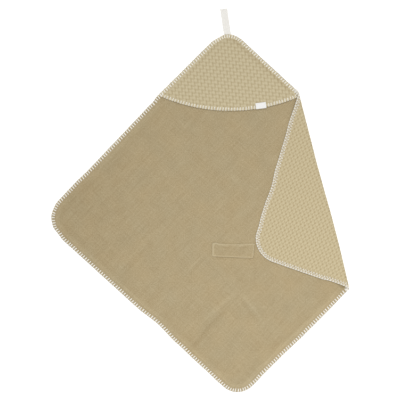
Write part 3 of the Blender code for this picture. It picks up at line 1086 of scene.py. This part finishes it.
def barStrands(line, stations, topOffset, back, random):
    # two strands a stitch, from their inner end over the face, round the edge and just into the back
    insets = np.array(stitch["insets"])
    above = stitch["radius"] - stitch["seated"] + np.array(stitch["heights"])
    slide, lean, longer = random.uniform(-1, 1, (3, len(stations), 1))
    lean = stitch["lean"] + lean * stitch["jitter"]
    lowerLeft = facing(line.inward[stations.astype(int)], stitch["shorterToward"])[:, None] ** 4
    inset = insets * (1 + longer * stitch["uneven"]) * (1 - stitch["shorter"] * lowerLeft)
    share = insets / stitch["reach"]
    step = abs(line.line[1] - line.line[0])
    strands = []
    for side in (-0.5, 0.5):
        beside = side * (stitch["apart"] - stitch["closer"] * share)
        along = stations[:, None] + (slide * stitch["jitter"] + lean * share + beside) / step
        flat = line.at(along, inset)
        face = laidOut(flat, -topOffset(flat, inset, along) - above)
        last = along[:, -1:]
        edgePlace = laidOut(line.at(last, back["inset"]), -back["edge"])
        tuck = line.at(last, stitch["tuckInset"])
        tucked = laidOut(tuck, back["tuck"](tuck, stitch["tuckInset"], last))
        strand = np.concatenate([face, edgePlace, tucked], axis=1)
        strand[..., 2] = np.maximum(strand[..., 2], stitch["radius"])
        strands.append(strand)
    return strands


def frontOffset(flat, inset, along):
    onHood = (cut["seamGap"] + hoodRise(flat) + hood["overLoop"] * loopLift(flat)
              + faceOffset(inset, along) - stitch["sunk"])
    past = pastOf(flat)
    return (liningOffset(flat, inset, along) + np.where(underHood(flat), onHood, 0)
            + patch(stitch["proud"], past) - stitch["under"] * rise(past, rollArc, stitch["underOver"]))


def backStrands(line, stations, random):
    # on the waffle face
    run, branch = [np.array(path) for path in stitch["backPaths"]]
    strands = []
    for path in (run, branch, branch * (-1, 1, 1) + (1, 0, 0)):
        shares, insets, heights = path.T
        jitter = random.uniform(-1, 1, (len(stations), len(path))) * stitch["backJitter"]
        along = stations[:, None] + (shares + jitter) * edge["perStitch"]
        inset = insets * (1 + random.uniform(-1, 1, (len(stations), 1)) * stitch["backUneven"])
        lies = laidOut(line.at(along, inset), seam + faceOffset(inset, along) + heights)
        # under the cloth the yarn is pressed into it by the floor
        lies[..., 2] = np.maximum(lies[..., 2], stitch["backRadius"])
        strands.append(lies)
    return strands


def foldStrands(end, flatSide, cornerSide, out, along, count):
    # the yarn where the fold turns the edge over: side by side from the flat part of the edge to the
    # folded corner. The two sides are counts of the edge's points from that end of the fold, and
    # the outermost strand is pushed out across the fold and along it.
    order = np.arange(count)
    inset = stitch["turnInset"] + stitch["turnApart"] * order
    near = np.abs(cutEdge.line - end).argmin()
    onFlat, onCorner = [near + side - order * np.sign(side) for side in (flatSide, cornerSide)]
    flat, folded = cutEdge.at(onFlat, inset), cutEdge.at(onCorner, inset)
    first = laidOut(flat, -frontOffset(flat, inset, onFlat) - stitch["radius"])[:, None]
    last = laidOut(folded, seam + faceOffset(inset, onCorner) + stitch["backRadius"] / 2)[:, None]
    push = acrossFold * (out - stitch["turnLess"] * order) + downFold * along
    push = np.stack([push.real, push.imag, np.full(count, stitch["turnUp"])], axis=-1)[:, None]
    share = np.linspace(0, 1, stitch["turnPoints"])[:, None]
    return first + (last - first) * share + push * 4 * share * (1 - share)


def makeBlanketStitch():
    random = np.random.default_rng(stitch["seed"])
    stations = np.arange(0, len(cutEdge.line), edge["perStitch"]).astype(float)
    back = {"inset": stitch["pastEdge"], "edge": 0.0,
            "tuck": lambda flat, inset, along: seam + faceOffset(inset, along) + stitch["tuckOut"]}
    bars = barStrands(cutEdge, stations, frontOffset, back, random)
    turned = [foldStrands(corner[end], *turn) for end, turn in stitch["turns"].items()]
    front = makeStitches("blanket_stitch", bars + turned, stitch["radius"])
    reverse = makeStitches("reverse_stitch", backStrands(cutEdge, stations, random),
                           stitch["backRadius"])
    return front, reverse


def makeHemStitch():
    random = np.random.default_rng(stitch["seed"] + 1)
    perStitch = edge["perStitch"]
    stations = hemFirst + np.arange(perStitch, hemCount - 2, perStitch).astype(float)

    def top(flat, inset, along):
        return hoodBase(flat) - stitch["sunk"] + faceOffset(inset, along - hemFirst)

    middle = len(stations) // 2
    edgeHeight = hoodBase(hoodOutline.at(stations[middle:middle + 1], 0.0))[0] + stitch["hemEdgeOut"]
    back = {"inset": stitch["hemPastEdge"], "edge": edgeHeight,
            "tuck": lambda flat, inset, along: stitch["hemTuckIn"] - hoodBase(flat)}
    return makeStitches("hem_stitch", barStrands(hoodOutline, stations, top, back, random),
                        stitch["hemRadius"])


frontStitches, backStitches = makeBlanketStitch()
hemStitches = makeHemStitch()


# The tape of the hanging loop and the ribbon of the label, as flat ribbons along a path

label = {
    "place": 0.1824 + 0.2746j,  # on the hem
    "turn": math.radians(187.2),
    "width": 0.0312,
    "height": 0.0150,
    "length": 0.0375,  # of the ribbon, laid open
    "pastHem": 0.0008,
    "wall": 0.0008,
    "fill": 0.85,
    "free": 0.0002,  # it stands this much off the hood
    "curl": 0.0006,
    "curlLength": 0.006,
}


ribbon = {
    "points": 15,  # across it
    "squareness": 20,  # of its two sides
    "selvedge": (0.15, 0.88, 0.05),  # it is a little thicker there
    "turnPoints": 9,
}


def ribbonPiece(name, path, look, material):
    # the path is seen from the side, y and height; the ribbon's two faces meet at its sides
    up = 1j * unit(np.gradient(path))
    share = np.sin(np.linspace(-math.pi / 2, math.pi / 2, ribbon["points"]))
    half = look["wall"] * look["fill"] / 2 * np.sqrt(1 - np.abs(share) ** ribbon["squareness"])
    half = half * (1 + patch(ribbon["selvedge"], np.abs(share)))
    across = np.concatenate([share, share[-2:0:-1]]) * look["width"] / 2
    lift = np.concatenate([half, -half[-2:0:-1]])
    side = path[:, None] + up[:, None] * lift[None, :]
    plan = look["place"] + (across[None, :] + 1j * side.real) * np.exp(1j * look["turn"])
    places = np.stack([plan.real, plan.imag, side.imag], axis=-1).reshape(-1, 3)
    along = np.concatenate([[0], np.cumsum(np.abs(np.diff(path)))])
    flat = (across[None, :] + 1j * along[:, None]).ravel()
    index = np.arange(side.size).reshape(side.shape)
    beside = np.roll(index, -1, axis=1)
    quads = np.stack([index[1:], beside[1:], beside[:-1], index[:-1]], axis=-1).reshape(-1, 4)
    faces = quads.tolist() + [index[0].tolist(), index[-1, ::-1].tolist()]
    return makePiece(name, places, faces, flat, material)


def doubled(lower, upper, centre, radius):
    # out along one run, round a half turn and back along the other
    turn = centre - 1j * radius * np.exp(1j * np.linspace(0, math.pi, ribbon["turnPoints"]))
    return np.concatenate([lower, turn, upper[::-1]])


def makeTape():
    lying = loop["wall"] / 2
    held = wall + cut["seamGap"] + lying
    start, end = loop["dropStart"], loop["dropEnd"]
    y = np.concatenate([[-loop["tail"]], np.linspace(start, end, 10),
                        np.linspace(end, loop["length"] - loop["straight"], 16)[1:]])
    lower = y + 1j * (held + (lying - held) * rise(y, start, end - start))
    radius = tapePitch / 2
    turnAt = loop["length"] - radius - lying
    # the upper run stands a little off the lower one, most near the middle
    bow = loop["bow"] * np.sin(math.pi * np.clip((y - end) / (turnAt - end), 0, 1)) ** 2
    path = doubled(lower, lower + 1j * (tapePitch + bow), turnAt + 1j * (lying + radius), radius)
    return ribbonPiece("hanging_tape", path, loop, twill)


def makeLabel():
    middle = pairWall + cut["seamGap"] + wall / 2 + hood["rise"]
    radius = wall / 2 + cut["seamGap"] + label["wall"] / 2 + label["free"]
    y = np.linspace(-label["height"], label["pastHem"], 9)[:-1]
    lower = y + 1j * (middle - radius)
    curl = label["curl"] * (1 - rise(y, -label["height"], label["curlLength"]))
    path = doubled(lower, lower + 1j * (2 * radius + curl), label["pastHem"] + 1j * middle, radius)
    return ribbonPiece("hem_ribbon", path, label, satin)


tapePiece = makeTape()
labelPiece = makeLabel()


# What each piece stands for

pieces = (
    (outerPiece, "outer_panel", "waffle"),
    (liningPiece, "lining_panel", "terry"),
    (hoodPiece, "hood_panel", "waffle"),
    (bandPiece, "closing_band", "terry"),
    (tapePiece, "hanging_loop", "tape"),
    (labelPiece, "hem_label", "label"),
    (frontStitches, None, "stitching"),
    (backStitches, None, "stitching"),
    (hemStitches, None, "stitching"),
)
for piece, node, slot in pieces:
    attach(piece, "root")
    if node:
        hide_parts(node)


# The studio

studio = {
    "floor": -0.0003,
    "floorGlow": 0.35,
    "ambient": 0.535,
    "keyFrom": (-0.25, 1.0, 1.15),
    "keyStrength": 0.89,
    "keySpread": math.radians(24),
    "fillFrom": (0.30, -0.45, 1.30),
    "fillAim": (0.30, -0.45, 0),
    "fillSize": 1.1,
    "fillPower": 7.4,
    "lens": 90.3,
    "height": 3.0,
    "centreY": -0.00075,
}


def makeLamp(name, kind, place, aim, **settings):
    lamp = bpy.data.lights.new(name, kind)
    for key, value in settings.items():
        setattr(lamp, key, value)
    item = bpy.data.objects.new(name, lamp)
    item.location = place
    item.rotation_euler = (Vector(aim) - Vector(place)).to_track_quat("-Z", "Y").to_euler()
    scene.collection.objects.link(item)


def makeStudio():
    bpy.ops.mesh.primitive_plane_add(size=8, location=(0, 0, studio["floor"]))
    floor = bpy.context.object
    floor.name = "floor"
    paint = Finish("floor", Base_Color=(0.92, 0.92, 0.92, 1), Roughness=0.9,
                   Emission_Color=(1, 1, 1, 1), Emission_Strength=studio["floorGlow"])
    floor.data.materials.append(paint.material)
    world = bpy.data.worlds.new("studio")
    world.use_nodes = True
    background = world.node_tree.nodes["Background"]
    background.inputs["Color"].default_value = (1, 1, 1, 1)
    background.inputs["Strength"].default_value = studio["ambient"]
    scene.world = world
    makeLamp("key", "SUN", studio["keyFrom"], (0, 0, 0),
             energy=studio["keyStrength"], angle=studio["keySpread"])
    makeLamp("fill", "AREA", studio["fillFrom"], studio["fillAim"],
             energy=studio["fillPower"], size=studio["fillSize"])
    camera = bpy.data.objects.new("camera", bpy.data.cameras.new("camera"))
    camera.data.lens = studio["lens"]
    camera.location = (0, studio["centreY"], studio["height"])
    scene.collection.objects.link(camera)
    scene.camera = camera
    scene.view_settings.view_transform = "Standard"


makeStudio()
